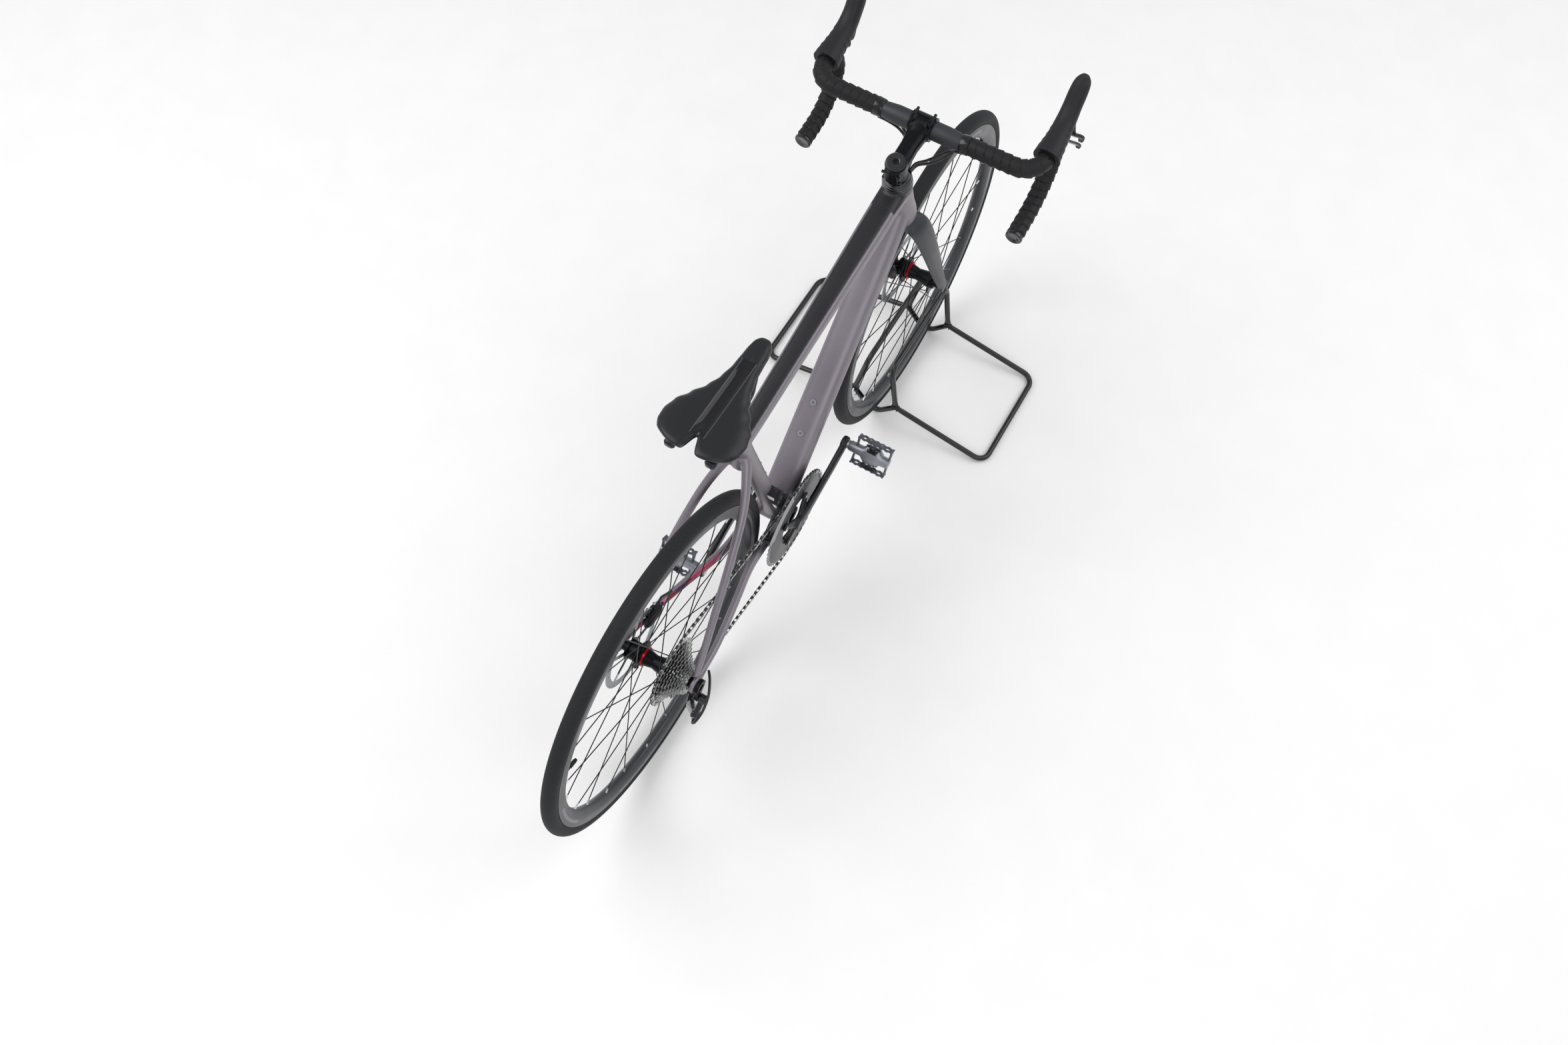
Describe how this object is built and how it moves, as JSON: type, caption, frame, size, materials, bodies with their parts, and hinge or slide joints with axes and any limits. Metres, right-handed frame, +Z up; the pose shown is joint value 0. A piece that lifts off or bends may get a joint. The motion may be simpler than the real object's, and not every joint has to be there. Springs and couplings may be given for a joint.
{
  "type": "bicycle on stand",
  "caption": "Road bicycle with drop handlebar and disc brakes, its front wheel held in a low welded tube floor stand.",
  "frame": {"origin": "on the floor, midway between the two wheel axles, in the middle plane of the bicycle", "axes": "+X forwards, +Y to the left of the rider, +Z up"},
  "size_m": [1.67, 0.5638, 0.9446],
  "materials": {
    "frame_carbon": "matt metallic",
    "fork_carbon": "matt",
    "black_alloy": "matt black anodised",
    "dark_alloy": "satin dark grey",
    "silver_steel": "bright",
    "chain_steel": "oiled",
    "rotor_steel": "brushed",
    "ring_alloy": "satin",
    "pedal_alloy": "satin",
    "tyre_rubber": "matt",
    "rim_finish": "satin dark grey",
    "spoke_black": "black",
    "bar_tape": "wound tape",
    "hood_rubber": "matt",
    "hose_black": "satin",
    "gloss_black": "gloss",
    "matte_black": "matt",
    "saddle_cover": "satin",
    "stand_enamel": "gloss black"
  },
  "bodies": {
    "frame": {"front_triangle": "frame_carbon", "chainstays": "frame_carbon", "seatstays": "frame_carbon", "headset_bearings": "silver_steel", "bottom_bracket": "black_alloy", "bottle_bosses": "silver_steel", "seatpost_wedge": "black_alloy", "rear_axle": "black_alloy", "rear_brake_caliper": "black_alloy", "frame_hoses": "hose_black", "derailleur_hanger": "dark_alloy", "rear_derailleur": "gloss_black", "derailleur_cage": "gloss_black", "front_derailleur": "gloss_black", "chain_plates": "chain_steel", "chain_rollers": "chain_steel"},
    "fork": {"fork": "fork_carbon", "headset_cone": "black_alloy", "headset_spacer": "black_alloy", "stem": "black_alloy", "stem_faceplate": "black_alloy", "stem_bolts": "black_alloy", "top_cap": "gloss_black", "handlebar": "black_alloy", "bar_tape": "bar_tape", "bar_plugs": "matte_black", "lever_hoods": "hood_rubber", "front_brake_caliper": "black_alloy", "fork_hoses": "hose_black", "front_axle": "black_alloy"},
    "lever_bracket_left": {"lever_bracket_left": "black_alloy"},
    "lever_bracket_right": {"lever_bracket_right": "black_alloy"},
    "brake_lever_left": {"brake_lever_left": "dark_alloy"},
    "brake_lever_right": {"brake_lever_right": "dark_alloy"},
    "shift_paddle_left": {"shift_paddle_left": "black_alloy"},
    "shift_paddle_right": {"shift_paddle_right": "black_alloy"},
    "front_wheel": {"front_tyre": "tyre_rubber", "front_rim": "rim_finish", "front_spokes": "spoke_black", "front_hub": "black_alloy", "front_rotor": "rotor_steel"},
    "rear_wheel": {"rear_tyre": "tyre_rubber", "rear_rim": "rim_finish", "rear_spokes": "spoke_black", "rear_hub": "black_alloy", "rear_rotor": "rotor_steel"},
    "cassette": {"cassette": "silver_steel"},
    "guide_pulley": {"guide_pulley": "gloss_black"},
    "tension_pulley": {"tension_pulley": "gloss_black"},
    "crank": {"crankset": "dark_alloy", "chainrings": "ring_alloy", "pedal_spindles": "silver_steel"},
    "pedal_left": {"pedal_left": "pedal_alloy"},
    "pedal_right": {"pedal_right": "pedal_alloy"},
    "seatpost": {"seatpost": "black_alloy"},
    "saddle_clamp": {"saddle_clamp": "black_alloy"},
    "saddle": {"saddle_rails": "silver_steel", "saddle_shell": "matte_black", "saddle_pad": "saddle_cover"},
    "wheel_stand": {"wheel_stand": "stand_enamel"}
  },
  "joints": [
    {"name": "steering", "type": "hinge", "parent": "frame", "child": "fork", "pos_m": [0.45017, 0, 0.32587], "axis": [-0.3007, 0, 0.9537], "range_deg": [-50, 50]},
    {"name": "front_wheel_spin", "type": "hinge", "parent": "fork", "child": "front_wheel", "pos_m": [0.495, 0, 0.34], "axis": [0, 1, 0], "continuous": true},
    {"name": "rear_wheel_spin", "type": "hinge", "parent": "frame", "child": "rear_wheel", "pos_m": [-0.495, 0, 0.34], "axis": [0, 1, 0], "continuous": true},
    {"name": "crank_spin", "type": "hinge", "parent": "frame", "child": "crank", "pos_m": [-0.09, 0, 0.27], "axis": [0, 1, 0], "continuous": true},
    {"name": "cassette_spin", "type": "hinge", "parent": "frame", "child": "cassette", "pos_m": [-0.495, 0, 0.34], "axis": [0, 1, 0], "continuous": true},
    {"name": "guide_pulley_spin", "type": "hinge", "parent": "frame", "child": "guide_pulley", "pos_m": [-0.485, 0, 0.242], "axis": [0, 1, 0], "continuous": true},
    {"name": "tension_pulley_spin", "type": "hinge", "parent": "frame", "child": "tension_pulley", "pos_m": [-0.443, 0, 0.19], "axis": [0, 1, 0], "continuous": true},
    {"name": "pedal_left_spin", "type": "hinge", "parent": "crank", "child": "pedal_left", "pos_m": [-0.24504, 0, 0.19438], "axis": [0, 1, 0], "continuous": true},
    {"name": "pedal_right_spin", "type": "hinge", "parent": "crank", "child": "pedal_right", "pos_m": [0.06504, 0, 0.34562], "axis": [0, 1, 0], "continuous": true},
    {"name": "brake_left", "type": "hinge", "parent": "fork", "child": "lever_bracket_left", "pos_m": [0.5028, 0.206, 0.87824], "axis": [0, 1, 0], "range_deg": [0, 18], "stiffness_Nm_per_rad": 3, "springref_deg": -5.73},
    {"name": "shift_lever_left", "type": "hinge", "parent": "lever_bracket_left", "child": "brake_lever_left", "pos_m": [0.5108, 0.207, 0.85424], "axis": [-1, 0, 0], "range_deg": [0, 12], "stiffness_Nm_per_rad": 1.5, "springref_deg": -5.73},
    {"name": "shift_paddle_left", "type": "hinge", "parent": "brake_lever_left", "child": "shift_paddle_left", "pos_m": [0.4978, 0.205, 0.85424], "axis": [-1, 0, 0], "range_deg": [0, 10], "stiffness_Nm_per_rad": 0.8, "springref_deg": -5.73},
    {"name": "brake_right", "type": "hinge", "parent": "fork", "child": "lever_bracket_right", "pos_m": [0.5028, -0.206, 0.87824], "axis": [0, 1, 0], "range_deg": [0, 18], "stiffness_Nm_per_rad": 3, "springref_deg": -5.73},
    {"name": "shift_lever_right", "type": "hinge", "parent": "lever_bracket_right", "child": "brake_lever_right", "pos_m": [0.5108, -0.207, 0.85424], "axis": [1, 0, 0], "range_deg": [0, 12], "stiffness_Nm_per_rad": 1.5, "springref_deg": -5.73},
    {"name": "shift_paddle_right", "type": "hinge", "parent": "brake_lever_right", "child": "shift_paddle_right", "pos_m": [0.4978, -0.205, 0.85424], "axis": [1, 0, 0], "range_deg": [0, 10], "stiffness_Nm_per_rad": 0.8, "springref_deg": -5.73},
    {"name": "seatpost_height", "type": "slide", "parent": "frame", "child": "seatpost", "axis": [-0.284, 0, 0.9588], "range_m": [-0.055, 0.035]},
    {"name": "saddle_tilt", "type": "hinge", "parent": "seatpost", "child": "saddle_clamp", "pos_m": [-0.25546, 0, 0.82858], "axis": [0, 1, 0], "range_deg": [-10, 10]},
    {"name": "saddle_reach", "type": "slide", "parent": "saddle_clamp", "child": "saddle", "axis": [1, 0, 0], "range_m": [-0.018, 0.018]},
    {"name": "stand_drop", "type": "slide", "parent": "fork", "child": "wheel_stand", "axis": [0, 0, -1], "range_m": [0, 0.3]}
  ],
  "couplings": [
    {"joint": "cassette_spin", "follows": "crank_spin", "ratio": 1.5625},
    {"joint": "guide_pulley_spin", "follows": "crank_spin", "ratio": -4.5455},
    {"joint": "tension_pulley_spin", "follows": "crank_spin", "ratio": 4.5455}
  ]
}
